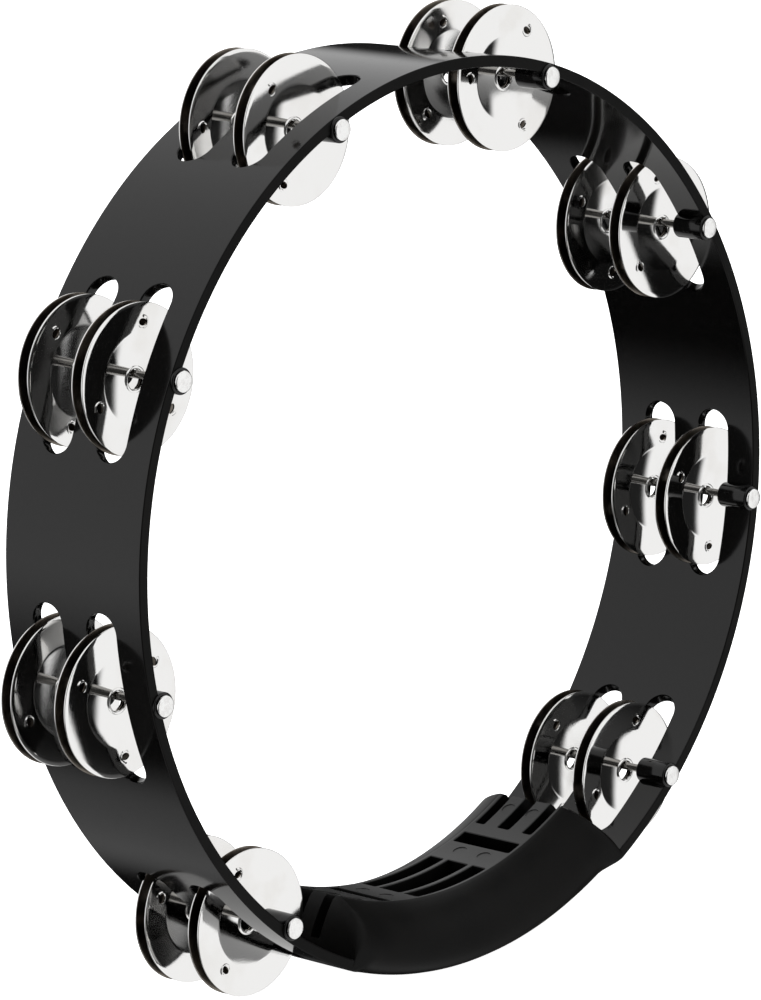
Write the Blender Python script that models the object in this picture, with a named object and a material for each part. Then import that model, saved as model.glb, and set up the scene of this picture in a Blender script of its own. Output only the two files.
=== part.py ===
"""Ten-inch hand tambourine: a moulded ring with a cored grip, eight pins and sixteen pairs of jingles.

Units are metres. +Z is up and -Y is the front. The origin is the middle of the grip's palm face, and the
ring stands above it on its edge, as a hand holds it. Angles are in degrees round the ring's axis, from +X
towards +Z as seen from the front.
"""
import math

import bmesh
import bpy
from mathutils import Matrix, Vector

# Ring
RING_RADIUS = 0.127
WALL = 0.0032
RING_WIDTH = 0.050
RIM_CHAMFER = 0.0004
RING_STEPS = 82

# Grip: a D-shaped handle in the lowest part of the ring
GRIP_ANGLE = -90.0
GRIP_HALF_SPAN = 26.2
GRIP_STEPS = 14
GRIP_END_SLOPE = 0.7
GRIP_INNER_RADIUS = 0.108
GRIP_PAD_HALF_WIDTH = 0.0116
GRIP_CORNER = 0.0058
GRIP_CORNER_BLEND = (22.5, 27.0)
GRIP_ARCH_POINTS = 3

# Core-outs in the grip's inner face, as angles from the middle of the grip
CORE_FLOOR_RADIUS = 0.1205
CORE_TOOL_CLEARANCE = 0.003
CORE_HALF_WIDTH = 0.0105
CAVITY_HALF_SPAN = 7.7
RIB_Y = 0.00465
RIB_WIDTH = 0.0016
CROSS_SLOT_SPAN = (13.0, 15.75)
END_SLOT_START = 18.4
FINGER_Y = 0.0047
FINGER_WIDTH = 0.0051

# Jingle stations
STATION_COUNT = 8
STATION_PITCH = 40.0
FIRST_STATION_ANGLE = GRIP_ANGLE + STATION_PITCH
PIN_CIRCLE_RADIUS = 0.1232
SLOT_ROWS = {"front": -0.010, "back": 0.010}
SLOT_LENGTH = 0.0486
SLOT_WIDTH = 0.0106
SLOT_END_RADIUS = SLOT_WIDTH * 0.4999
SLOT_END_STEPS = 4
SLOT_TOOL_DEPTH = 0.016

# Pins and the bosses that hold them
PIN_RADIUS = 0.0011
PIN_BACK_Y = 0.0217
PIN_HEAD_RADIUS = 0.0029
PIN_HEAD_THICKNESS = 0.0006
PIN_HEAD_GAP = 0.0003
PIN_SIDES = 8
BOSS_RADIUS = 0.0036
BOSS_PROUD = 0.0006
BOSS_BACK_RECESS = 0.0003
BOSS_SIDES = 12
BORE_RADIUS = 0.0014
BORE_BACK_Y = 0.022
BORE_TOOL_CLEARANCE = 0.0006

# Jingles
JINGLE_RADIUS = 0.0203
JINGLE_THICKNESS = 0.0005
JINGLE_DISH_RADIUS = 0.0122
JINGLE_DISH_DEPTH = 0.0012
JINGLE_HOLE_RADIUS = 0.0028
JINGLE_DROP = 0.0014
JINGLE_STEPS = 16
PAIR_HALF_DEPTH = 0.0019
PAIR_SET_BACK = 0.0024

FRONT_Y = -RING_WIDTH / 2
BACK_Y = RING_WIDTH / 2
RING_AXIS = Vector((0, 1, 0))
RING_CENTRE = Vector((0, 0, RING_RADIUS))
MERGE_DISTANCE = 1e-6


def clear_scene():
    for old in list(bpy.data.objects):
        bpy.data.objects.remove(old, do_unlink=True)


def make_material(name, colour, roughness, metallic):
    material = bpy.data.materials.new(name)
    material.use_nodes = True
    shader = material.node_tree.nodes["Principled BSDF"]
    shader.inputs["Base Color"].default_value = (*colour, 1.0)
    shader.inputs["Roughness"].default_value = roughness
    shader.inputs["Metallic"].default_value = metallic
    return material


def finish_mesh(name, bm, sharp_angle=35.0):
    """Turn a bmesh into a mesh with outward faces, smooth across its round surfaces."""
    bmesh.ops.recalc_face_normals(bm, faces=bm.faces)
    mesh = bpy.data.meshes.new(name)
    bm.to_mesh(mesh)
    bm.free()
    mesh.shade_smooth()
    mesh.set_sharp_from_angle(angle=math.radians(sharp_angle))
    return mesh


def place(name, mesh, material=None, location=(0, 0, 0), rotation=(0, 0, 0)):
    """Make one object from a mesh, which other objects may share."""
    piece = bpy.data.objects.new(name, mesh)
    piece.location = location
    piece.rotation_euler = rotation
    bpy.context.collection.objects.link(piece)
    if material and not mesh.materials:
        mesh.materials.append(material)
    return piece


def hide_cutter(cutter):
    cutter.hide_render = True
    cutter.display_type = "WIRE"


def apply_boolean(target, tool, operation):
    modifier = target.modifiers.new(tool.name, "BOOLEAN")
    modifier.operation = operation
    modifier.object = tool
    modifier.solver = "EXACT"
    hide_cutter(tool)


def ring_point(angle, radius, y):
    """A point at an angle round the ring, at a distance from its axis."""
    turn = math.radians(angle)
    return Vector((radius * math.cos(turn), y, RING_RADIUS + radius * math.sin(turn)))


def station_angles():
    return [FIRST_STATION_ANGLE + STATION_PITCH * index for index in range(STATION_COUNT)]


def smooth_step(value, low, high):
    """0 at low, 1 at high, with a level start and end."""
    share = min(max((value - low) / (high - low), 0.0), 1.0)
    return share * share * (3 - 2 * share)


def band_half_section(count):
    """The band's outer corner, rim and inner corner on its +Y side, as (y, radius)."""
    corner_y = BACK_Y - RIM_CHAMFER
    inner_radius = RING_RADIUS - WALL
    rim_top = RING_RADIUS - RIM_CHAMFER
    rim_drop = WALL - 2 * RIM_CHAMFER
    rim = [(BACK_Y, rim_top - rim_drop * index / (count - 3)) for index in range(count - 2)]
    return [(corner_y, RING_RADIUS)] + rim + [(corner_y, inner_radius)]


def grip_half_section():
    """The grip's rounded palm corner, then its elliptic side up to the edge of the cored pad."""
    middle_radius = RING_RADIUS - GRIP_CORNER
    flat_y = BACK_Y - GRIP_CORNER
    turns = [math.radians(angle) for angle in (0, 45, 90)]
    corner = [(flat_y + GRIP_CORNER * math.sin(t), middle_radius + GRIP_CORNER * math.cos(t)) for t in turns]
    last_turn = math.acos(GRIP_PAD_HALF_WIDTH / BACK_Y)
    height = (middle_radius - GRIP_INNER_RADIUS) / math.sin(last_turn)
    turns = [last_turn * index / GRIP_ARCH_POINTS for index in range(1, GRIP_ARCH_POINTS + 1)]
    arch = [(BACK_Y * math.cos(t), middle_radius - height * math.sin(t)) for t in turns]
    return corner + arch


def section_at(from_grip):
    """The whole closed section of the moulding at an angle from the middle of the grip."""
    grip = grip_half_section()
    band = band_half_section(len(grip))
    distance = abs(from_grip)
    corner_share = 1 - smooth_step(distance, *GRIP_CORNER_BLEND)
    bulk_share = 1.0 if distance < GRIP_HALF_SPAN + GRIP_END_SLOPE / 2 else 0.0
    half = []
    for index, (band_point, grip_point) in enumerate(zip(band, grip)):
        share = corner_share if index < 3 else bulk_share
        half.append(tuple(a + (b - a) * share for a, b in zip(band_point, grip_point)))
    return half + [(-y, radius) for y, radius in reversed(half)]


def turn_from_grip(point):
    """A point's angle from the middle of the grip, between -180 and 180."""
    angle = math.degrees(math.atan2(point.z - RING_RADIUS, point.x)) - GRIP_ANGLE
    return (angle + 180) % 360 - 180


def sweep_moulding():
    """Spin the section round the ring in four stretches, then give each vertex its place in its section."""
    bm = bmesh.new()
    order = bm.verts.layers.int.new("order")
    start = -GRIP_HALF_SPAN
    band = band_half_section(len(grip_half_section()))
    loop = band + [(-y, radius) for y, radius in reversed(band)]
    verts = [bm.verts.new(ring_point(GRIP_ANGLE + start, radius, y)) for y, radius in loop]
    for index, vert in enumerate(verts):
        vert[order] = index
    edges = [bm.edges.new((a, b)) for a, b in zip(verts, verts[1:] + verts[:1])]
    band_span = 360 - 2 * (GRIP_HALF_SPAN + GRIP_END_SLOPE)
    stretches = [
        (2 * GRIP_HALF_SPAN, GRIP_STEPS),
        (GRIP_END_SLOPE, 1),
        (band_span, RING_STEPS),
        (GRIP_END_SLOPE, 1),
    ]
    geometry = verts + edges
    for span, steps in stretches:
        spun = bmesh.ops.spin(
            bm, geom=geometry, cent=RING_CENTRE, axis=-RING_AXIS,
            angle=math.radians(span), steps=steps, use_merge=False,
        )
        geometry = spun["geom_last"]
    bmesh.ops.remove_doubles(bm, verts=bm.verts, dist=MERGE_DISTANCE)
    for vert in bm.verts:
        from_grip = turn_from_grip(vert.co)
        y, radius = section_at(from_grip)[vert[order]]
        vert.co = ring_point(GRIP_ANGLE + from_grip, radius, y)
    return finish_mesh("frame", bm)


def add_turned_box(bm, first_angle, last_angle, steps, y_range, radii):
    """A block that follows the ring between two angles, for a core-out."""
    corners = [(y, radius) for y in y_range for radius in radii]
    corners = [corners[0], corners[1], corners[3], corners[2]]
    verts = [bm.verts.new(ring_point(GRIP_ANGLE + first_angle, radius, y)) for y, radius in corners]
    face = bm.faces.new(verts)
    bmesh.ops.spin(
        bm, geom=[face], cent=RING_CENTRE, axis=-RING_AXIS,
        angle=math.radians(last_angle - first_angle), steps=steps, use_merge=False,
    )


def core_out_tool():
    """Every pocket in the grip's inner face: long cavities, cross slots and open end slots."""
    bm = bmesh.new()
    radii = (GRIP_INNER_RADIUS - CORE_TOOL_CLEARANCE, CORE_FLOOR_RADIUS)
    rib_inner = RIB_Y - RIB_WIDTH / 2
    rib_outer = RIB_Y + RIB_WIDTH / 2
    lanes = [(-CORE_HALF_WIDTH, -rib_outer), (-rib_inner, rib_inner), (rib_outer, CORE_HALF_WIDTH)]
    for lane in lanes:
        add_turned_box(bm, -CAVITY_HALF_SPAN, CAVITY_HALF_SPAN, 4, lane, radii)
    finger_inner = FINGER_Y - FINGER_WIDTH / 2
    finger_outer = FINGER_Y + FINGER_WIDTH / 2
    gaps = [(-CORE_HALF_WIDTH, -finger_outer), (-finger_inner, finger_inner), (finger_outer, CORE_HALF_WIDTH)]
    past_end = GRIP_HALF_SPAN + 2 * GRIP_END_SLOPE
    for side in (-1, 1):
        near, far = sorted(side * angle for angle in CROSS_SLOT_SPAN)
        add_turned_box(bm, near, far, 1, (-CORE_HALF_WIDTH, CORE_HALF_WIDTH), radii)
        near, far = sorted((side * END_SLOT_START, side * past_end))
        for gap in gaps:
            add_turned_box(bm, near, far, 2, gap, radii)
    return place("tool_core_outs", finish_mesh("tool_core_outs", bm))


def slot_tool():
    """Sixteen round-ended blocks, pushed straight out through the band at each station."""
    bm = bmesh.new()
    for angle in station_angles():
        for row_y in SLOT_ROWS.values():
            block = bmesh.ops.create_cube(bm, size=1.0)["verts"]
            bmesh.ops.scale(bm, vec=(SLOT_TOOL_DEPTH, SLOT_WIDTH, SLOT_LENGTH), verts=block)
            edges = {edge for vert in block for edge in vert.link_edges}
            ends = [edge for edge in edges if abs((edge.verts[0].co - edge.verts[1].co).x) > WALL]
            rounded = bmesh.ops.bevel(
                bm, geom=ends, offset=SLOT_END_RADIUS, offset_type="OFFSET", affect="EDGES",
                segments=SLOT_END_STEPS, profile=0.5, material=-1,
            )
            block = list({vert for face in rounded["faces"] for vert in face.verts})
            # The block's own +X points out along the radius once it is turned about the ring's axis.
            turn = Matrix.Rotation(-math.radians(angle), 4, RING_AXIS)
            move = Matrix.Translation(ring_point(angle, RING_RADIUS - WALL / 2, row_y))
            bmesh.ops.transform(bm, matrix=move @ turn, verts=block)
    return place("tool_slots", finish_mesh("tool_slots", bm))


def add_rod(bm, angle, radius, sides, front_y, back_y):
    """A round bar along the ring's axis on the pin circle."""
    turn = Matrix.Rotation(math.radians(90), 4, "X")
    middle = ring_point(angle, PIN_CIRCLE_RADIUS, (front_y + back_y) / 2)
    bmesh.ops.create_cone(
        bm, cap_ends=True, segments=sides, radius1=radius, radius2=radius,
        depth=back_y - front_y, matrix=Matrix.Translation(middle) @ turn,
    )


def rod_tool(name, radius, sides, front_y, back_y):
    bm = bmesh.new()
    for angle in station_angles():
        add_rod(bm, angle, radius, sides, front_y, back_y)
    return place(name, finish_mesh(name, bm))


def make_frame(plastic):
    frame = place("frame", sweep_moulding(), plastic)
    boss_front = FRONT_Y - BOSS_PROUD
    bosses = rod_tool("tool_bosses", BOSS_RADIUS, BOSS_SIDES, boss_front, BACK_Y - BOSS_BACK_RECESS)
    bore_front = boss_front - BORE_TOOL_CLEARANCE
    bores = rod_tool("tool_bores", BORE_RADIUS, PIN_SIDES, bore_front, BORE_BACK_Y)
    apply_boolean(frame, core_out_tool(), "DIFFERENCE")
    apply_boolean(frame, bosses, "UNION")
    apply_boolean(frame, slot_tool(), "DIFFERENCE")
    apply_boolean(frame, bores, "DIFFERENCE")


def turned_mesh(name, outline, steps):
    """Turn a closed outline of (distance from the axis, y) right round the Y axis."""
    bm = bmesh.new()
    verts = [bm.verts.new((distance, y, 0)) for distance, y in outline]
    edges = [bm.edges.new((a, b)) for a, b in zip(verts, verts[1:] + verts[:1])]
    bmesh.ops.spin(
        bm, geom=verts + edges, cent=(0, 0, 0), axis=RING_AXIS,
        angle=math.tau, steps=steps, use_merge=True,
    )
    return finish_mesh(name, bm)


def jingle_mesh():
    """A sheet disc with a flat rim and a round dish. Its rim face looks to -Y, and the dish sinks to +Y."""
    face = [
        (JINGLE_RADIUS, -PAIR_HALF_DEPTH),
        (JINGLE_DISH_RADIUS, -PAIR_HALF_DEPTH),
        (JINGLE_HOLE_RADIUS, -PAIR_HALF_DEPTH + JINGLE_DISH_DEPTH),
    ]
    back = [(distance, y + JINGLE_THICKNESS) for distance, y in reversed(face)]
    return turned_mesh("jingle", face + back, JINGLE_STEPS)


def pin_mesh():
    """A headed pin: a shank along Y under a flat round head at its front end."""
    bm = bmesh.new()
    head_back = FRONT_Y - BOSS_PROUD - PIN_HEAD_GAP
    turn = Matrix.Rotation(math.radians(90), 4, "X")
    shank = bmesh.ops.create_cone(
        bm, cap_ends=True, segments=PIN_SIDES, radius1=PIN_RADIUS, radius2=PIN_RADIUS,
        depth=PIN_BACK_Y - head_back, matrix=Matrix.Translation((0, (PIN_BACK_Y + head_back) / 2, 0)) @ turn,
    )
    faces = {face for vert in shank["verts"] for face in vert.link_faces}
    front = min(faces, key=lambda face: face.calc_center_median().y)
    bmesh.ops.inset_region(bm, faces=[front], thickness=0.0, use_even_offset=True)
    rim = list(front.verts)
    grown = PIN_HEAD_RADIUS / PIN_RADIUS
    bmesh.ops.scale(bm, vec=(grown, 1, grown), verts=rim)
    head = bmesh.ops.extrude_face_region(bm, geom=[front])
    moved = [item for item in head["geom"] if isinstance(item, bmesh.types.BMVert)]
    bmesh.ops.translate(bm, vec=(0, -PIN_HEAD_THICKNESS, 0), verts=moved)
    bmesh.ops.delete(bm, geom=[front], context="FACES_ONLY")
    return finish_mesh("pin", bm)


def make_pins(steel):
    mesh = pin_mesh()
    for number, angle in enumerate(station_angles(), start=1):
        place(f"pin_{number}", mesh, steel, ring_point(angle, PIN_CIRCLE_RADIUS, 0))


def make_jingles(steel):
    """Each slot holds a pair with their dishes back to back. Each disc hangs with its hole's top on the pin."""
    mesh = jingle_mesh()
    half_turn = (0, 0, math.pi)
    for number, angle in enumerate(station_angles(), start=1):
        for row, slot_y in SLOT_ROWS.items():
            centre = ring_point(angle, PIN_CIRCLE_RADIUS, slot_y + PAIR_SET_BACK) - Vector((0, 0, JINGLE_DROP))
            place(f"jingle_{number}_{row}_a", mesh, steel, centre)
            place(f"jingle_{number}_{row}_b", mesh, steel, centre, half_turn)


def main():
    clear_scene()
    make_frame(make_material("frame_plastic", (0.012, 0.012, 0.012), 0.15, 0.0))
    make_pins(make_material("pin_steel", (0.85, 0.85, 0.84), 0.15, 1.0))
    make_jingles(make_material("jingle_steel", (0.80, 0.79, 0.77), 0.08, 1.0))


main()
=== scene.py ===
"""Looks for a ten-inch hand tambourine: a black moulded ring, eight plated pins and sixteen pairs of jingles.

Units are metres. +Z is up and -Y is the front. Angles are in degrees round the ring's axis, from +X
towards +Z as seen from the front.
"""
import math

import bmesh
import bpy
from mathutils import Matrix, Vector


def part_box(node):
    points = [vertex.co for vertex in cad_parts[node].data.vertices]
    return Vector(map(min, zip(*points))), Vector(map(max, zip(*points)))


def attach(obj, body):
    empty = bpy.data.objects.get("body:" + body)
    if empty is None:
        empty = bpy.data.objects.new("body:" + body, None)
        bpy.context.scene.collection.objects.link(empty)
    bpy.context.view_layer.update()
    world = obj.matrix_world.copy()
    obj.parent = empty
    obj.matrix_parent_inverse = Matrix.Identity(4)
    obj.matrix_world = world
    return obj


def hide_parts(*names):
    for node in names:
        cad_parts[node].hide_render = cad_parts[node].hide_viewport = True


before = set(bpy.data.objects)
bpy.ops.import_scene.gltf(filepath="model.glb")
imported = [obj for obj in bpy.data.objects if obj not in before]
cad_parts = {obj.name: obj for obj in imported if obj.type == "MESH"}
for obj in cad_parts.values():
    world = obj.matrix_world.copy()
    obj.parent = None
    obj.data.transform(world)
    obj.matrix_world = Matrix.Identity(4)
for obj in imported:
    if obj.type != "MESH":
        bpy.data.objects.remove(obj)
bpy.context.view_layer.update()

# Ring: its size and place come from the frame
FRAME_LOW, FRAME_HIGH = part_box("frame")
RING_RADIUS = 0.127
RING_AXIS = Vector((0, 1, 0))
RING_CENTRE = Vector((0, 0, FRAME_LOW.z + RING_RADIUS))
WALL = 0.0032
HALF_WIDTH = 0.025
INNER_RADIUS = RING_RADIUS - WALL
RIM_ROUND = 0.0004
BAND_STEP = 1.0
WALL_COLUMNS = 8

# Grip
GRIP_ANGLE = -90.0
GRIP_END = 26.9
GRIP_END_ROUND = 1.3
GRIP_PAD_RADIUS = 0.108
GRIP_PAD_HALF_WIDTH = 0.0116
GRIP_CORNER = 0.0058
GRIP_CORNER_BLEND = (22.5, 27.0)
PAD_EDGE_ROUND = 0.0005
CORNER_POINTS = 9
SIDE_POINTS = 14
EDGE_POINTS = 4

# Core-outs and ejector marks in the grip, as angles from its middle
CORE_FLOOR_RADIUS = 0.1205
CORE_HALF_WIDTH = 0.0105
CAVITY_HALF_SPAN = 7.7
RIB_Y = 0.00465
RIB_WIDTH = 0.0016
CROSS_SLOT_SPAN = (13.0, 15.75)
END_SLOT_SPAN = (18.4, 28.4)
FINGER_Y = 0.0047
FINGER_WIDTH = 0.0051
MARK_ANGLES = (10.9, 22.85)
MARK_Y = 0.0045
MARK_SIZE = 0.004
MARK_DEPTH = 0.00018

# Jingle slots
SLOT_ROWS = {"front": -0.010, "back": 0.010}
SLOT_LENGTH = 0.0486
SLOT_WIDTH = 0.0106
SLOT_MOUTH = 0.0004

# Bosses and bores
BOSS_RADIUS = 0.0036
BOSS_FRONT = -0.0256
BOSS_BACK = 0.0247
BORE_RADIUS = 0.0014
BORE_BACK = 0.022

# Pins: the head's back face stands just in front of the bosses
PIN_HEAD_THICKNESS = 0.0006
PIN_HEAD_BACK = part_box("pin_1")[0].y + PIN_HEAD_THICKNESS

# Jingles
JINGLE_RADIUS = 0.0203
JINGLE_THICKNESS = 0.0005
DISH_RADIUS = 0.0122
DISH_DEPTH = 0.00115
CREASE_FACE = 0.00178
FLANGE_FALL = -0.03
HOLE_RADIUS = 0.0028
LIP_RADIUS = 0.0003
NICK_RADIUS = 0.0150
NICK_SIZE = 0.0016
NICK_HOLE = 0.00115
NICK_LIP = 0.00048
NICK_SWEEP = 235
NICK_TAPER = 0.75
RIM_FACE = 0.0019
STATION_COUNT = 8
TURN_STEPS = 96

# Studio: patches of the room as (bearing, height, reach, softness) in degrees and a strength, the heights
# between which the floor behind goes dark, and how far reflections are followed
DARK_CURTAINS = ((8, -10, 40, 2.5, 0.985), (-138, 0, 46, 6, 0.93))
GROUND_FALL = (-30, -6)
GROUND_DEPTH = 0.99
FLOOR_GLOW = (97, -43, 13, 6, 0.45)
GLOSS_BOUNCES = 12

# Camera
CAMERA_PLACE = Vector((-1.0122, -0.9493, 0.4851))
CAMERA_TARGET = Vector((-0.0177, 0.0, 0.1286))
CAMERA_ROLL = -3.49
CAMERA_LENS = 186.5
CAMERA_SHIFT = (0.0219, 0.0174)


# ---------------------------------------------------------------- shader maths

class Wire:
    """A socket that takes part in Python sums. Each sum adds a Math node to the socket's tree."""

    def __init__(self, shading, socket):
        self.shading = shading
        self.socket = socket

    def math(self, operation, *others, clamp=False):
        values = dict(enumerate((self, *others)))
        return self.shading.node("Math", {"operation": operation, "use_clamp": clamp}, values)

    def __add__(self, other):
        return self.math("ADD", other)

    def __radd__(self, other):
        return self.shading.node("Math", {"operation": "ADD"}, {0: other, 1: self})

    def __sub__(self, other):
        return self.math("SUBTRACT", other)

    def __rsub__(self, other):
        return self.shading.node("Math", {"operation": "SUBTRACT"}, {0: other, 1: self})

    def __mul__(self, other):
        return self.math("MULTIPLY", other)

    def __rmul__(self, other):
        return self.shading.node("Math", {"operation": "MULTIPLY"}, {0: other, 1: self})

    def __truediv__(self, other):
        return self.math("DIVIDE", other)

    def step(self, low, high):
        """0 where the value is under low and 1 where it is over high, with a smooth change between."""
        settings = {"interpolation_type": "SMOOTHSTEP"}
        return self.shading.node("MapRange", settings, {"Value": self, "From Min": low, "From Max": high})


class Shading:
    """A node tree that is built one node at a time."""

    def __init__(self, tree):
        self.tree = tree
        self.tree.nodes.clear()

    def node(self, kind, settings=None, inputs=None, output=0):
        """Add a node, set it up, fill its sockets with values or wires, and give one of its outputs."""
        made = self.tree.nodes.new("ShaderNode" + kind)
        for name, value in (settings or {}).items():
            setattr(made, name, value)
        for key, value in (inputs or {}).items():
            if isinstance(value, Wire):
                self.tree.links.new(value.socket, made.inputs[key])
            else:
                made.inputs[key].default_value = value
        return Wire(self, made.outputs[output]) if made.outputs else None

    def mix(self, factor, first, second):
        """A colour between two colours."""
        return self.node("Mix", {"data_type": "RGBA"}, {0: factor, 6: first, 7: second}, output=2)

    def place(self, scale=(1, 1, 1)):
        """Object coordinates, stretched by a scale."""
        coordinates = self.node("TexCoord", output="Object")
        return self.node("Mapping", None, {"Vector": coordinates, "Scale": scale})

    def noise(self, vector, scale, detail=3.0, roughness=0.55):
        inputs = {"Vector": vector, "Scale": scale, "Detail": detail, "Roughness": roughness}
        return self.node("TexNoise", None, inputs)

    def bump(self, height, distance, strength=1.0, under=None):
        inputs = {"Height": height, "Distance": distance, "Strength": strength}
        if under is not None:
            inputs["Normal"] = under
        return self.node("Bump", None, inputs)


def finish(recipe):
    """A material named for its recipe, which returns the inputs of its Principled BSDF."""
    material = bpy.data.materials.new(recipe.__name__)
    material.use_nodes = True
    shading = Shading(material.node_tree)
    shader = shading.node("BsdfPrincipled", None, recipe(shading))
    shading.node("OutputMaterial", None, {"Surface": shader})
    return material


def gloss_plastic(shading):
    """Polished black ABS: near black, a faint flow in its gloss, and hairline marks from handling."""
    place = shading.place()
    flow = shading.noise(place, 9.0, detail=2.0)
    dust = shading.noise(place, 900.0, detail=1.0)
    hairs = shading.noise(shading.place((60.0, 900.0, 60.0)), 6.0, detail=4.0, roughness=0.7)
    marks = hairs.step(0.66, 0.74)
    shade = (flow * 0.5 + dust * 0.5).step(0.35, 0.7)
    peel = shading.bump(flow, 0.0006, 0.25)
    return {
        "Base Color": shading.mix(shade, (0.0010, 0.0010, 0.0010, 1), (0.0024, 0.0022, 0.0021, 1)),
        "Roughness": 0.075 + flow * 0.05 + marks * 0.10,
        "Normal": shading.bump(marks, 0.00002, 0.5, under=peel),
        "IOR": 1.45,
        "Specular IOR Level": 0.42,
    }


def matt_plastic(shading, level, roughness):
    """The same black ABS with the fine matt grain of a blasted mould, worn smoother in patches."""
    place = shading.place()
    grain = shading.noise(place, 2400.0, detail=2.0)
    wear = shading.noise(place, 45.0, detail=3.0)
    shade = wear.step(0.35, 0.65)
    return {
        "Base Color": shading.mix(shade, (0.0010, 0.0010, 0.0009, 1), (0.0026, 0.0024, 0.0022, 1)),
        "Roughness": roughness - 0.08 + wear * 0.16,
        "Normal": shading.bump(grain, 0.00004, 0.5),
        "IOR": 1.47,
        # The gloss level differs between the copies so that the pad reads lighter and the sides darker:
        # painted light and shade.
        "Specular IOR Level": level,
    }


def pad_plastic(shading):
    """The grip's cored face: the matt ABS with its full gloss, the lit copy beside the darkened sides."""
    return matt_plastic(shading, level=0.45, roughness=0.38)


def shaded_side_plastic(shading):
    """The grip's palm side, its end walls and the ring's rims: a copy of the matt ABS with hardly any gloss,
    so that they read darker, as painted shade.
    """
    return matt_plastic(shading, level=0.10, roughness=0.42)


def disc_distance(shading):
    """The distance from a disc's own axis."""
    local = shading.node("Attribute", {"attribute_name": "local"}, output="Vector")
    flat = shading.node("VectorMath", {"operation": "MULTIPLY"}, {0: local, 1: (1, 0, 1)})
    return shading.node("VectorMath", {"operation": "LENGTH"}, {0: flat}, output="Value")


def jingle_steel(shading):
    """Nickel-plated sheet steel: turned lines round the disc, a little haze, and warm smudges."""
    distance = disc_distance(shading)
    lines = (distance * 16000.0).math("SINE") + (distance * 41000.0).math("SINE") * 0.6
    place = shading.place()
    cloud = shading.noise(place, 160.0, detail=4.0)
    smudge = shading.noise(place, 60.0, detail=3.0).step(0.52, 0.70)
    wave = shading.bump(shading.noise(place, 55.0, detail=1.0), 0.0005, 0.12)
    return {
        "Base Color": shading.mix(smudge * 0.6, (0.86, 0.855, 0.845, 1), (0.80, 0.785, 0.76, 1)),
        "Metallic": 1.0,
        "Roughness": 0.045 + cloud * 0.045 + smudge * 0.05,
        "Normal": shading.bump(lines, 0.0000012, 0.35, under=wave),
    }


def shaded_jingle_back(shading):
    """The inner face of a disc, towards its partner: nickel painted dark and brownish, varying in a haze, as
    shade in the narrow gap between the pair; rougher, and brushed round the disc.
    """
    distance = disc_distance(shading)
    brushed = (distance * 21000.0).math("SINE") + (distance * 9000.0).math("SINE")
    haze = shading.noise(shading.place(), 120.0, detail=4.0).step(0.35, 0.65)
    return {
        # Painted shade: the dark brownish base stands in for the shade between the paired discs.
        "Base Color": shading.mix(haze, (0.15, 0.13, 0.11, 1), (0.30, 0.27, 0.235, 1)),
        "Metallic": 1.0,
        "Roughness": 0.30 + haze * 0.12,
        "Normal": shading.bump(brushed, 0.000002, 0.5),
    }


def pin_steel(shading):
    """Plated wire: a bright, slightly worn head on a rougher drawn shank painted dark, as shade where it runs
    among the discs and bosses.
    """
    place = shading.place()
    y = shading.node("SeparateXYZ", None, {0: place}, output="Y")
    shank = y.step(PIN_HEAD_BACK - 0.0001, PIN_HEAD_BACK + 0.0001)
    wear = shading.noise(place, 700.0, detail=4.0)
    drawn = shading.noise(shading.place((900.0, 30.0, 900.0)), 3.0, detail=2.0)
    bright = shading.mix(wear.step(0.4, 0.7), (0.90, 0.90, 0.89, 1), (0.82, 0.81, 0.80, 1))
    # Painted shade: the shank is coloured far darker than the head.
    shank_shade = shading.mix(drawn, (0.22, 0.21, 0.20, 1), (0.42, 0.41, 0.39, 1))
    return {
        "Base Color": shading.mix(shank, bright, shank_shade),
        "Metallic": 1.0,
        "Roughness": 0.14 + wear * 0.10 + shank * 0.06,
        "Normal": shading.bump(drawn, 0.00001, 0.3),
    }


# ---------------------------------------------------------------- mesh helpers

def ring_point(angle, radius, y):
    """A point at an angle round the ring, at a distance from its axis."""
    turn = math.radians(angle)
    return RING_CENTRE + Vector((radius * math.cos(turn), y, radius * math.sin(turn)))


def smooth_step(value, low, high):
    """0 at low, 1 at high, with a level start and end."""
    share = min(max((value - low) / (high - low), 0.0), 1.0)
    return share * share * (3 - 2 * share)


def arc(middle, radius, start, end, count):
    """Points along a round corner, with angles in degrees from the first axis."""
    turns = [math.radians(start + (end - start) * index / (count - 1)) for index in range(count)]
    return [(middle[0] + radius * math.cos(turn), middle[1] + radius * math.sin(turn)) for turn in turns]


def make_piece(name, mesh, material=None):
    piece = bpy.data.objects.new(name, mesh)
    bpy.context.collection.objects.link(piece)
    if material:
        mesh.materials.append(material)
    return piece


def mesh_from(name, bm, sharp_angle=32.0):
    """Turn a closed bmesh into a smooth mesh with outward faces."""
    bmesh.ops.recalc_face_normals(bm, faces=bm.faces)
    mesh = bpy.data.meshes.new(name)
    bm.to_mesh(mesh)
    bm.free()
    mesh.shade_smooth()
    mesh.set_sharp_from_angle(angle=math.radians(sharp_angle))
    return mesh


def turned(outline, steps, closed):
    """Turn an outline of (distance from the axis, y) right round the Y axis."""
    bm = bmesh.new()
    verts = [bm.verts.new((distance, y, 0)) for distance, y in outline]
    ends = zip(verts, verts[1:] + verts[:1]) if closed else zip(verts, verts[1:])
    edges = [bm.edges.new(pair) for pair in ends]
    bmesh.ops.spin(
        bm, geom=verts + edges, cent=(0, 0, 0), axis=RING_AXIS,
        angle=math.tau, steps=steps, use_merge=True,
    )
    bmesh.ops.remove_doubles(bm, verts=bm.verts, dist=1e-7)
    return bm


def join_into(whole, part):
    """Add one bmesh to another."""
    bmesh.ops.recalc_face_normals(part, faces=part.faces)
    carrier = bpy.data.meshes.new("carrier")
    part.to_mesh(carrier)
    part.free()
    whole.from_mesh(carrier)
    bpy.data.meshes.remove(carrier)


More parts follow.
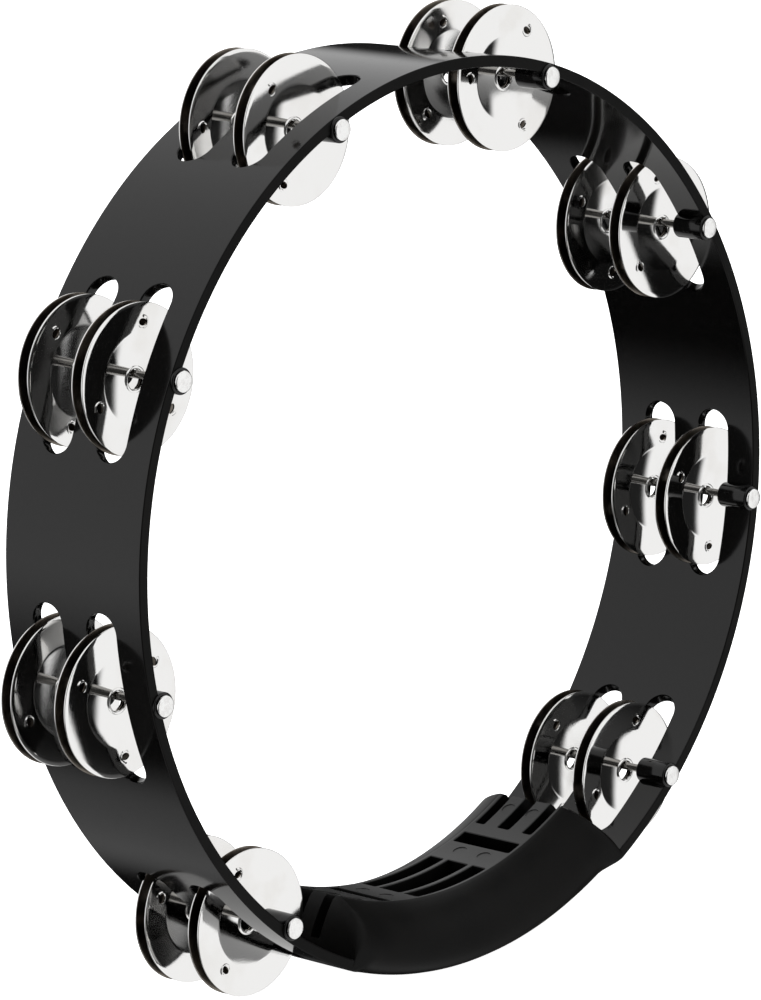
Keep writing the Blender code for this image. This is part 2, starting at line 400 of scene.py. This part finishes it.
def cut(target, tools):
    """Apply each (operation, mesh) to a piece, and remove the tools."""
    for operation, mesh in tools:
        tool = make_piece("tool", mesh)
        modifier = target.modifiers.new("cut", "BOOLEAN")
        modifier.operation = operation
        modifier.object = tool
        modifier.solver = "EXACT"
        bpy.context.view_layer.update()
        shaped = bpy.data.meshes.new_from_object(target.evaluated_get(bpy.context.evaluated_depsgraph_get()))
        target.modifiers.clear()
        target.data = shaped
        bpy.data.objects.remove(tool)


# ---------------------------------------------------------------- frame moulding

def band_half_section():
    """The band's +Y side, from its outer wall over the rim to its inner wall, as (y, radius)."""
    middle_y = HALF_WIDTH - RIM_ROUND
    outer = arc((middle_y, RING_RADIUS - RIM_ROUND), RIM_ROUND, 90, 0, CORNER_POINTS)
    inner = arc((middle_y, INNER_RADIUS + RIM_ROUND), RIM_ROUND, 0, -90, EDGE_POINTS)
    height = WALL - 2 * RIM_ROUND
    shares = [index / (SIDE_POINTS + 1) for index in range(1, SIDE_POINTS + 1)]
    rim = [(HALF_WIDTH, outer[-1][1] - height * share) for share in shares]
    return outer + rim + inner


def grip_half_section():
    """The grip's +Y side: a round palm corner, an elliptic side, and a soft edge to the pad."""
    middle_radius = RING_RADIUS - GRIP_CORNER
    corner = arc((HALF_WIDTH - GRIP_CORNER, middle_radius), GRIP_CORNER, 90, 0, CORNER_POINTS)
    last_turn = math.acos(GRIP_PAD_HALF_WIDTH / HALF_WIDTH)
    height = (middle_radius - GRIP_PAD_RADIUS) / math.sin(last_turn)
    steps = SIDE_POINTS + EDGE_POINTS
    turns = [last_turn * index / (steps - 1) for index in range(1, steps)]
    side = [(HALF_WIDTH * math.cos(turn), middle_radius - height * math.sin(turn)) for turn in turns]
    return corner + side + [(GRIP_PAD_HALF_WIDTH - PAD_EDGE_ROUND, GRIP_PAD_RADIUS)]


def section_at(from_grip):
    """The whole closed section of the moulding at an angle from the middle of the grip."""
    distance = abs(from_grip)
    corner_share = 1 - smooth_step(distance, *GRIP_CORNER_BLEND)
    past = min(max((distance - GRIP_END + GRIP_END_ROUND) / GRIP_END_ROUND, 0.0), 1.0)
    bulk_share = math.sqrt(1 - past * past)
    half = []
    for index, (band_point, grip_point) in enumerate(zip(BAND_HALF, GRIP_HALF)):
        share = corner_share if index < CORNER_POINTS else bulk_share
        half.append(tuple(a + (b - a) * share for a, b in zip(band_point, grip_point)))
    mirrored = [(-y, radius) for y, radius in reversed(half)]
    return half + across(half[-1], mirrored[0]) + mirrored + across(mirrored[-1], half[0])


def across(start, end):
    """Points that divide a flat stretch of the section into columns."""
    shares = [index / WALL_COLUMNS for index in range(1, WALL_COLUMNS)]
    return [tuple(a + (b - a) * share for a, b in zip(start, end)) for share in shares]


def turn_from_grip(point):
    """A point's angle from the middle of the grip, between -180 and 180."""
    angle = math.degrees(math.atan2(point.z - RING_CENTRE.z, point.x)) - GRIP_ANGLE
    return (angle + 180) % 360 - 180


def sweep_moulding():
    """Spin the section round the ring in stretches, then give each vertex its place in its section."""
    bm = bmesh.new()
    order = bm.verts.layers.int.new("order")
    level_span = GRIP_END - GRIP_END_ROUND
    loop = section_at(180.0)
    verts = [bm.verts.new(ring_point(GRIP_ANGLE - level_span, radius, y)) for y, radius in loop]
    for index, vert in enumerate(verts):
        vert[order] = index
    edges = [bm.edges.new(pair) for pair in zip(verts, verts[1:] + verts[:1])]
    round_spans = [GRIP_END_ROUND * share for share in (0.4, 0.3, 0.15, 0.1, 0.05)]
    stretches = [2 * level_span, *round_spans, 360 - 2 * GRIP_END, *reversed(round_spans)]
    geometry = verts + edges
    for span in stretches:
        spun = bmesh.ops.spin(
            bm, geom=geometry, cent=RING_CENTRE, axis=-RING_AXIS,
            angle=math.radians(span), steps=max(1, round(span / BAND_STEP)), use_merge=False,
        )
        geometry = spun["geom_last"]
    bmesh.ops.remove_doubles(bm, verts=bm.verts, dist=1e-6)
    for vert in bm.verts:
        from_grip = turn_from_grip(vert.co)
        y, radius = section_at(from_grip)[vert[order]]
        vert.co = ring_point(GRIP_ANGLE + from_grip, radius, y)
    bm.verts.layers.int.remove(order)
    return mesh_from("frame_moulding", bm)


def cutter_block(length, width, corner, columns, layers, corner_steps=6):
    """A block with round upright corners. Layers of (height, growth) widen it at its mouths."""
    heights = [height for height, growth in layers]
    deep = heights[-1] - heights[0]
    middle = Matrix.Translation((0, 0, (heights[0] + heights[-1]) / 2))
    shape = middle @ Matrix.Diagonal((length, width, deep, 1))
    bm = bmesh.new()
    bmesh.ops.create_cube(bm, size=1.0, matrix=shape)
    upright = [edge for edge in bm.edges if abs(edge.verts[0].co.z - edge.verts[1].co.z) > deep / 2]
    bmesh.ops.bevel(
        bm, geom=upright, offset=corner, offset_type="OFFSET", affect="EDGES",
        segments=corner_steps, profile=0.5, material=-1,
    )
    cuts = [((0, 0, height), (0, 0, 1)) for height in heights[1:-1]]
    flat = length - 2 * corner
    cuts += [((flat * (index / columns - 0.5), 0, 0), (1, 0, 0)) for index in range(columns + 1)]
    for place, normal in cuts:
        everything = bm.verts[:] + bm.edges[:] + bm.faces[:]
        bmesh.ops.bisect_plane(bm, geom=everything, dist=1e-7, plane_co=place, plane_no=normal)
    core = (length / 2 - corner, width / 2 - corner)
    for vert in bm.verts:
        middle = Vector(min(max(value, -limit), limit) for value, limit in zip(vert.co.xy, core))
        outward = vert.co.xy - middle
        if outward.length > corner / 2:
            growth = min(layers, key=lambda layer: abs(layer[0] - vert.co.z))[1]
            vert.co.xy = middle + outward.normalized() * (corner + growth)
    return bm


def bend_to_grip(bm, middle_angle, y, radius):
    """Bend a block round the ring's axis: its length runs along an arc, and its height is radial."""
    for vert in bm.verts:
        angle = GRIP_ANGLE + middle_angle + math.degrees(vert.co.x / radius)
        vert.co = ring_point(angle, vert.co.z, y + vert.co.y)
    return bm


def mouth(radius, outward, size, floor, open_by):
    """Layers for a cutter that opens at a wall's surface, with a small round along its mouth."""
    steps = [(open_by, 1.6), (-0.1, 0.72), (-0.4, 0.32), (-0.75, 0.09), (-1.2, 0.0)]
    layers = [(radius + outward * size * depth, size * growth) for depth, growth in steps]
    return sorted([(floor, 0.0)] + layers)


def core_out_tool():
    """Every pocket in the grip's pad: long cavities, cross slots and open end slots."""
    whole = bmesh.new()
    layers = mouth(GRIP_PAD_RADIUS, -1, 0.0003, CORE_FLOOR_RADIUS, 6.0)
    corner = 0.0005
    arc_radius = GRIP_PAD_RADIUS

    def pocket(first, last, low_y, high_y, columns):
        length = math.radians(last - first) * arc_radius
        block = cutter_block(length, high_y - low_y, corner, columns, layers, corner_steps=3)
        join_into(whole, bend_to_grip(block, (first + last) / 2, (low_y + high_y) / 2, arc_radius))

    rib_inner = RIB_Y - RIB_WIDTH / 2
    rib_outer = RIB_Y + RIB_WIDTH / 2
    for lane in ((-CORE_HALF_WIDTH, -rib_outer), (-rib_inner, rib_inner), (rib_outer, CORE_HALF_WIDTH)):
        pocket(-CAVITY_HALF_SPAN, CAVITY_HALF_SPAN, *lane, 14)
    finger_inner = FINGER_Y - FINGER_WIDTH / 2
    finger_outer = FINGER_Y + FINGER_WIDTH / 2
    gaps = ((-CORE_HALF_WIDTH, -finger_outer), (-finger_inner, finger_inner), (finger_outer, CORE_HALF_WIDTH))
    for side in (-1, 1):
        pocket(*sorted(side * angle for angle in CROSS_SLOT_SPAN), -CORE_HALF_WIDTH, CORE_HALF_WIDTH, 3)
        for gap in gaps:
            pocket(*sorted(side * angle for angle in END_SLOT_SPAN), *gap, 9)
    return mesh_from("core_outs", whole)


def mark_tool():
    """Shallow round ejector marks in the pad."""
    whole = bmesh.new()
    layers = [(GRIP_PAD_RADIUS - 0.001, 0.0003), (GRIP_PAD_RADIUS + MARK_DEPTH, 0.0)]
    for angle in MARK_ANGLES:
        for side in (-1, 1):
            for y in (-MARK_Y, MARK_Y):
                block = cutter_block(MARK_SIZE, MARK_SIZE, MARK_SIZE * 0.4999, 1, layers, corner_steps=8)
                join_into(whole, bend_to_grip(block, side * angle, y, GRIP_PAD_RADIUS))
    return mesh_from("marks", whole)


def slot_tool(angles):
    """Sixteen round-ended cutters, straight through the band, with a small round along both mouths."""
    whole = bmesh.new()
    outer = mouth(RING_RADIUS, 1, SLOT_MOUTH, RING_RADIUS - WALL / 2, 3.0)
    inner = mouth(INNER_RADIUS, -1, SLOT_MOUTH, RING_RADIUS - WALL / 2, 3.0)
    layers = inner[:-1] + outer
    for angle in angles:
        radial = ring_point(angle, 1, 0) - RING_CENTRE
        along = radial.cross(RING_AXIS)
        for row_y in SLOT_ROWS.values():
            block = cutter_block(SLOT_LENGTH, SLOT_WIDTH, SLOT_WIDTH * 0.4999, 24, layers, corner_steps=14)
            for vert in block.verts:
                x, y, radius = vert.co
                height = math.sqrt(radius * radius - x * x)
                vert.co = RING_CENTRE + radial * height + along * x + RING_AXIS * (row_y + y)
            join_into(whole, block)
    return mesh_from("slots", whole)


def rod(radius, front, back, rounding, steps=40):
    """A round bar along Y with rounded ends."""
    outline = [(0, front)]
    outline += arc((radius - rounding, front + rounding), rounding, -90, 0, 5)
    outline += arc((radius - rounding, back - rounding), rounding, 0, 90, 5)
    return turned(outline + [(0, back)], steps, closed=False)


def boss_tool(places):
    """Three lengths of boss at each station, one on each side of each slot."""
    whole = bmesh.new()
    edge = SLOT_WIDTH / 2 + 0.00003
    front_y, back_y = SLOT_ROWS.values()
    lengths = ((BOSS_FRONT, front_y - edge), (front_y + edge, back_y - edge), (back_y + edge, BOSS_BACK))
    for place in places:
        for front, back in lengths:
            bar = rod(BOSS_RADIUS, front, back, 0.0004)
            bmesh.ops.translate(bar, vec=place, verts=bar.verts)
            join_into(whole, bar)
    return mesh_from("bosses", whole)


def bore_tool(places):
    whole = bmesh.new()
    for place in places:
        bar = rod(BORE_RADIUS, BOSS_FRONT - 0.001, BORE_BACK, 0.0001, steps=24)
        bmesh.ops.translate(bar, vec=place, verts=bar.verts)
        join_into(whole, bar)
    return mesh_from("bores", whole)


def true_wall_normals(mesh):
    """Give the band's two walls the normals of a true cylinder, whatever the cuts left of their faces."""
    normals = [Vector(corner.vector) for corner in mesh.corner_normals]
    for face in mesh.polygons:
        for loop_index in face.loop_indices:
            point = mesh.vertices[mesh.loops[loop_index].vertex_index].co - RING_CENTRE
            radial = Vector((point.x, 0, point.z))
            distance = radial.length
            radial.normalize()
            if abs(distance - RING_RADIUS) < 3e-5 and face.normal.dot(radial) > 0.97:
                normals[loop_index] = radial
            elif abs(distance - INNER_RADIUS) < 3e-5 and face.normal.dot(radial) < -0.97:
                normals[loop_index] = -radial
    mesh.normals_split_custom_set(normals)


def moulding_zone(face):
    """Which finish a face of the moulding has: 0 gloss, 1 the grip's pad, 2 the darkened copy, painted shade
    on the grip's sides and end walls and on the rims.
    """
    offset = face.center - RING_CENTRE
    radius = math.hypot(offset.x, offset.z)
    from_grip = abs(turn_from_grip(face.center))
    if from_grip < GRIP_END - 0.3 and radius < GRIP_PAD_RADIUS + 0.0002:
        return 1
    on_rim = abs(face.normal.y) > 0.6 and HALF_WIDTH - 0.0004 < abs(offset.y) < HALF_WIDTH + 0.0001
    in_grip = from_grip < GRIP_END - 0.01 or (from_grip < GRIP_END + 0.1 and radius < INNER_RADIUS - 0.0002)
    return 2 if in_grip or on_rim else 0


def make_moulding(pin_places, finishes):
    piece = make_piece("frame_moulding", sweep_moulding())
    angles = [math.degrees(math.atan2(place.z - RING_CENTRE.z, place.x)) for place in pin_places]
    tools = [("DIFFERENCE", core_out_tool()), ("DIFFERENCE", mark_tool()), ("DIFFERENCE", slot_tool(angles))]
    tools += [("UNION", boss_tool(pin_places)), ("DIFFERENCE", bore_tool(pin_places))]
    cut(piece, tools)
    mesh = piece.data
    mesh.shade_smooth()
    mesh.set_sharp_from_angle(angle=math.radians(32))
    mesh.materials.clear()
    for material in finishes:
        mesh.materials.append(material)
    for face in mesh.polygons:
        face.material_index = moulding_zone(face)
    true_wall_normals(mesh)
    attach(piece, "ring")
    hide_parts("frame")


# ---------------------------------------------------------------- jingles and pins

def dish_depth(distance):
    """How far the disc sinks at a distance from its middle, with a soft crease round the dish."""
    slope = 2 * DISH_DEPTH / DISH_RADIUS
    crease = 0.0004
    fall = FLANGE_FALL * (distance - DISH_RADIUS) if distance > DISH_RADIUS else 0.0
    if distance >= DISH_RADIUS + crease:
        return fall
    if distance > DISH_RADIUS - crease:
        return fall + slope * (DISH_RADIUS + crease - distance) ** 2 / (4 * crease)
    return DISH_DEPTH * (1 - (distance / DISH_RADIUS) ** 2)


def jingle_outline():
    """The disc's closed section as (distance, y): rounded edge, rim, dish, and a rolled lip at the hole."""
    half = JINGLE_THICKNESS / 2
    edge_round = 0.00018
    edge = arc((JINGLE_RADIUS - edge_round, half - edge_round), edge_round, 90, 0, 4)
    edge += arc((JINGLE_RADIUS - edge_round, -half + edge_round), edge_round, 0, -90, 4)
    lip_middle = HOLE_RADIUS + LIP_RADIUS + 0.00012
    flats = [0.0190, 0.0165, 0.0140]
    crease = [DISH_RADIUS + step * 0.0001 for step in (4, 3, 2, 1, 0, -1, -2, -3, -4)]
    dish = [DISH_RADIUS - 0.0004 - (DISH_RADIUS - 0.0004 - 0.0036) * index / 14 for index in range(1, 15)]
    front = [(distance, -half + dish_depth(distance)) for distance in flats + crease + dish]
    back = [(distance, half + dish_depth(distance)) for distance in reversed(flats + crease + dish)]
    lip_y = dish_depth(lip_middle) - half
    lip = arc((lip_middle, lip_y), LIP_RADIUS + 0.00012, 0, -180, 9)
    floor_y = dish_depth(HOLE_RADIUS) + half
    outline = front + lip + [(HOLE_RADIUS, floor_y - 0.0001), (HOLE_RADIUS + 0.0001, floor_y)] + back
    sunk = [(distance, y + dish_depth(JINGLE_RADIUS)) for distance, y in edge]
    return [(distance, y - CREASE_FACE + half) for distance, y in sunk + outline]


def nick_tools():
    """Three pierced nicks round the rim: a small hole each, and the round lip pushed up beside it."""
    holes = bmesh.new()
    lips = bmesh.new()
    for index in range(3):
        turn = Matrix.Rotation(math.tau * index / 3, 4, RING_AXIS)
        bar = rod(NICK_HOLE, -0.004, 0.001, 0.0001, steps=16)
        bmesh.ops.scale(bar, vec=(0.85, 1, 1.25), verts=bar.verts)
        bmesh.ops.translate(bar, vec=(NICK_RADIUS, 0, 0), verts=bar.verts)
        bmesh.ops.transform(bar, matrix=turn, verts=bar.verts)
        join_into(holes, bar)
        hook = bmesh.new()
        section = arc((NICK_SIZE, 0), NICK_LIP, 0, 324, 10)
        face = hook.faces.new([hook.verts.new((x, y, 0)) for x, y in section])
        bmesh.ops.spin(
            hook, geom=[face], cent=(0, 0, 0), axis=RING_AXIS,
            angle=math.radians(NICK_SWEEP), steps=18, use_merge=False,
        )
        for vert in hook.verts:
            swept = math.degrees(math.atan2(vert.co.x, vert.co.z) - math.pi / 2) % 360
            middle = Vector((vert.co.x, 0, vert.co.z)).normalized() * NICK_SIZE
            vert.co = middle + (vert.co - middle) * (1 - NICK_TAPER * min(swept / NICK_SWEEP, 1.0))
        bmesh.ops.translate(hook, vec=(NICK_RADIUS, -CREASE_FACE, 0), verts=hook.verts)
        bmesh.ops.transform(hook, matrix=turn, verts=hook.verts)
        join_into(lips, hook)
    return [("UNION", mesh_from("lips", lips)), ("DIFFERENCE", mesh_from("holes", holes))]


def master_jingle():
    plain = mesh_from("jingle_master", turned(jingle_outline(), TURN_STEPS, closed=True))
    piece = make_piece("jingle_master", plain)
    cut(piece, nick_tools())
    mesh = piece.data
    mesh.shade_smooth()
    mesh.set_sharp_from_angle(angle=math.radians(32))
    for face in mesh.polygons:
        # Faces towards the partner disc take the second finish, whose dark colour is painted shade for the
        # gap.
        face.material_index = 1 if face.normal.y > 0.5 and face.center.y > -RIM_FACE else 0
    local = mesh.attributes.new("local", "FLOAT_VECTOR", "POINT")
    local.data.foreach_set("vector", [value for vert in mesh.vertices for value in vert.co])
    bpy.data.objects.remove(piece)
    return mesh


def make_jingles(finishes):
    """A disc for each jingle node, turned by its own amount about its own axis."""
    master = master_jingle()
    for number in range(1, STATION_COUNT + 1):
        for row_index, row in enumerate(SLOT_ROWS):
            for face_index, face in enumerate("ab"):
                node = f"jingle_{number}_{row}_{face}"
                low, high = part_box(node)
                middle = (low + high) / 2
                inset = RIM_FACE - (high.y - low.y) / 2
                middle.y += inset if face == "a" else -inset
                turn = math.radians(47 * number + 71 * row_index + 33 * face_index)
                facing = Matrix.Rotation(math.pi * face_index, 4, "Z")
                mesh = master.copy()
                mesh.transform(Matrix.Translation(middle) @ facing @ Matrix.Rotation(turn, 4, "Y"))
                disc = make_piece(f"disc_{number}_{row}_{face}", mesh)
                for material in finishes:
                    mesh.materials.append(material)
                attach(disc, node)
                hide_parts(node)
    bpy.data.meshes.remove(master)


def make_pins(pin_places, steel):
    """A headed pin at each station: a flat head with a rounded edge on a drawn shank."""
    for number, place in enumerate(pin_places, start=1):
        low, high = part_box(f"pin_{number}")
        head_radius = (high.x - low.x) / 2
        shank_radius = 0.0011
        head_back = low.y + PIN_HEAD_THICKNESS
        outline = [(0, low.y), (head_radius * 0.45, low.y + 0.00001)]
        outline += arc((head_radius - 0.0003, low.y + 0.0003), 0.0003, -90, 0, 6)
        outline += [(head_radius, head_back - 0.00008), (head_radius - 0.00008, head_back)]
        outline += [(shank_radius + 0.0001, head_back), (shank_radius, head_back + 0.0001)]
        outline += [(shank_radius, high.y - 0.0003), (shank_radius - 0.0003, high.y), (0, high.y)]
        bm = turned(outline, 48, closed=False)
        bmesh.ops.translate(bm, vec=place, verts=bm.verts)
        pin = make_piece(f"headed_pin_{number}", mesh_from(f"headed_pin_{number}", bm), steel)
        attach(pin, "ring")
        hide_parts(f"pin_{number}")


# ---------------------------------------------------------------- studio

def make_camera():
    data = bpy.data.cameras.new("camera")
    data.lens = CAMERA_LENS
    data.shift_x, data.shift_y = CAMERA_SHIFT
    camera = bpy.data.objects.new("camera", data)
    aim = (CAMERA_TARGET - CAMERA_PLACE).to_track_quat("-Z", "Y").to_matrix().to_4x4()
    roll = Matrix.Rotation(math.radians(CAMERA_ROLL), 4, "Z")
    camera.matrix_world = Matrix.Translation(CAMERA_PLACE) @ aim @ roll
    bpy.context.collection.objects.link(camera)
    bpy.context.scene.camera = camera


def pale_floor(shading):
    tone = shading.noise(shading.place(), 3.0)
    return {
        "Base Color": shading.mix(tone, (0.90, 0.90, 0.90, 1), (0.93, 0.93, 0.93, 1)),
        "Roughness": 0.9,
        "Specular IOR Level": 0.0,
        "Emission Color": (1, 1, 1, 1),
        "Emission Strength": 1.0,
    }


def make_floor():
    bm = bmesh.new()
    bmesh.ops.create_grid(bm, x_segments=1, y_segments=1, size=8.0)
    bmesh.ops.translate(bm, vec=(0, 0, FRAME_LOW.z - 0.0002), verts=bm.verts)
    mesh = bpy.data.meshes.new("floor")
    bm.to_mesh(mesh)
    bm.free()
    floor = make_piece("floor", mesh, finish(pale_floor))
    floor.visible_glossy = False


def round_patch(shading, direction, bearing, height, reach, softness):
    """1 inside a round patch of the room and 0 outside it, with a soft edge."""
    flat = math.cos(math.radians(height))
    across_x = flat * math.cos(math.radians(bearing))
    across_y = flat * math.sin(math.radians(bearing))
    aim = (across_x, across_y, math.sin(math.radians(height)))
    along = shading.node("VectorMath", {"operation": "DOT_PRODUCT"}, {0: direction, 1: aim}, output="Value")
    off = along.math("ARCCOSINE") * math.degrees(1)
    return 1 - off.step(reach - softness, reach + softness)


def make_studio():
    """A white room with two dark curtains, a floor that falls off to dark behind, and a large lamp above."""
    world = bpy.data.worlds.new("studio")
    world.use_nodes = True
    bpy.context.scene.world = world
    shading = Shading(world.node_tree)
    direction = shading.node("TexCoord", output="Generated")
    y, z = [shading.node("SeparateXYZ", None, {0: direction}, output=axis) for axis in "YZ"]
    rise = z.math("ARCSINE") * math.degrees(1)
    level = 1 - GROUND_DEPTH * (1 - rise.step(*GROUND_FALL)) * y.step(-0.1, 0.3)
    for *place, depth in DARK_CURTAINS:
        level = level * (1 - depth * round_patch(shading, direction, *place))
    *place, glow = FLOOR_GLOW
    level = level + glow * round_patch(shading, direction, *place)
    seen = shading.node("LightPath", output="Is Camera Ray")
    strength = seen + (1 - seen) * level
    light = shading.node("Background", None, {"Color": (1.0, 1.0, 1.0, 1), "Strength": strength})
    shading.node("OutputWorld", None, {"Surface": light})

    data = bpy.data.lights.new("top_lamp", "AREA")
    data.shape = "SQUARE"
    data.size = 2.5
    data.energy = 25
    lamp = bpy.data.objects.new("top_lamp", data)
    lamp.location = (-0.3, 0.4, 2.6)
    lamp.visible_glossy = False
    bpy.context.collection.objects.link(lamp)


BAND_HALF = band_half_section()
GRIP_HALF = grip_half_section()


def main():
    bpy.context.scene.view_settings.view_transform = "Standard"
    bpy.context.scene.cycles.glossy_bounces = GLOSS_BOUNCES
    pin_boxes = [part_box(f"pin_{number}") for number in range(1, STATION_COUNT + 1)]
    pin_places = [Vector(((low.x + high.x) / 2, 0, (low.z + high.z) / 2)) for low, high in pin_boxes]
    make_camera()
    make_floor()
    make_studio()
    make_moulding(pin_places, [finish(recipe) for recipe in (gloss_plastic, pad_plastic, shaded_side_plastic)])
    make_jingles([finish(recipe) for recipe in (jingle_steel, shaded_jingle_back)])
    make_pins(pin_places, finish(pin_steel))


main()
